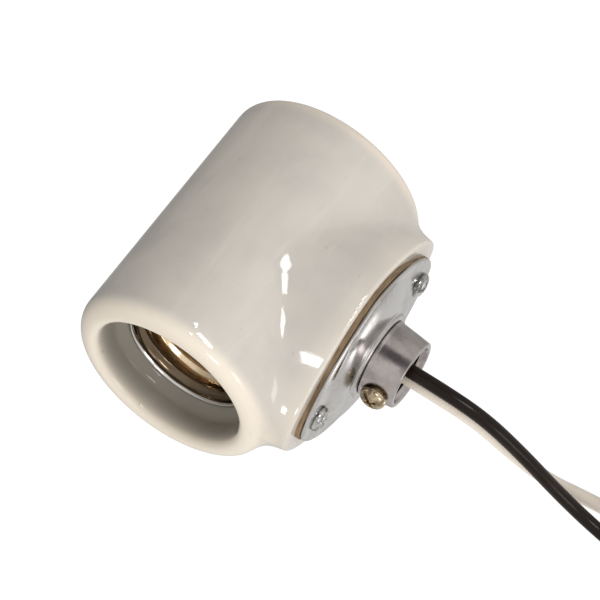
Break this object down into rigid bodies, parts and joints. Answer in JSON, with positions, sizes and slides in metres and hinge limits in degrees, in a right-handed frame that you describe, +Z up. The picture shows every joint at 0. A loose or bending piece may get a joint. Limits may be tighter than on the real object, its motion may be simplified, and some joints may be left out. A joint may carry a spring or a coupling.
{
  "type": "heat lamp fixture",
  "caption": "Heat lamp fixture: glazed porcelain medium screw lampholder with a metal side cap, threaded pipe bushing, set screw and black and white leads, lying on its side",
  "frame": {"origin": "centre of the bottom of the box around the fixture without its free leads; the fixture lies on its side on a table at z = 0", "axes": "+Z up; the lamp's screw axis lies along Y at x = -8.75 mm, z = 24 mm, with the lamp's mouth facing -Y; the side cap's bushing and the leads point to +X"},
  "size_m": [0.1684, 0.0935, 0.048],
  "materials": {
    "porcelain": "glossy clear glaze",
    "brass_shell": "bright, slightly tarnished",
    "brass_parts": "bright",
    "bronze_strip": "satin",
    "nickel_parts": "plated, bright",
    "tinned_copper": "tinned",
    "zinc_steel": "zinc plated, bright",
    "cast_bushing": "cast, satin",
    "fibre": "vulcanised fibre",
    "black_insulation": "glossy",
    "white_insulation": "glossy"
  },
  "bodies": {
    "holder": {"porcelain_body": "porcelain", "screw_shell": "brass_shell", "shell_rivets": "brass_parts", "insulating_washer": "fibre", "contact_foot": "bronze_strip", "contact_rivet": "brass_parts", "live_strap": "brass_parts", "neutral_strap": "nickel_parts", "live_terminal_screw": "brass_parts", "neutral_terminal_screw": "nickel_parts", "live_ring_terminal": "tinned_copper", "neutral_ring_terminal": "tinned_copper", "black_lead_inner": "black_insulation", "white_lead_inner": "white_insulation", "black_lead": "black_insulation", "white_lead": "white_insulation", "black_lead_strands": "tinned_copper", "white_lead_strands": "tinned_copper", "screw_inserts": "brass_parts", "fibre_gasket": "fibre", "cap_plate": "zinc_steel", "cap_bushing": "cast_bushing", "cap_screws": "nickel_parts"},
    "contact": {"contact_tongue": "bronze_strip"},
    "set_screw_body": {"set_screw": "nickel_parts"}
  },
  "joints": [
    {"name": "contact_flex", "type": "hinge", "parent": "holder", "child": "contact", "pos_m": [-0.00875, 0.00175, 0.02675], "axis": [1, 0, 0], "range_deg": [0, 14], "stiffness_Nm_per_rad": 0.02},
    {"name": "set_screw_travel", "type": "slide", "parent": "holder", "child": "set_screw_body", "axis": [0, -1, 0], "range_m": [0, 0.003]}
  ]
}
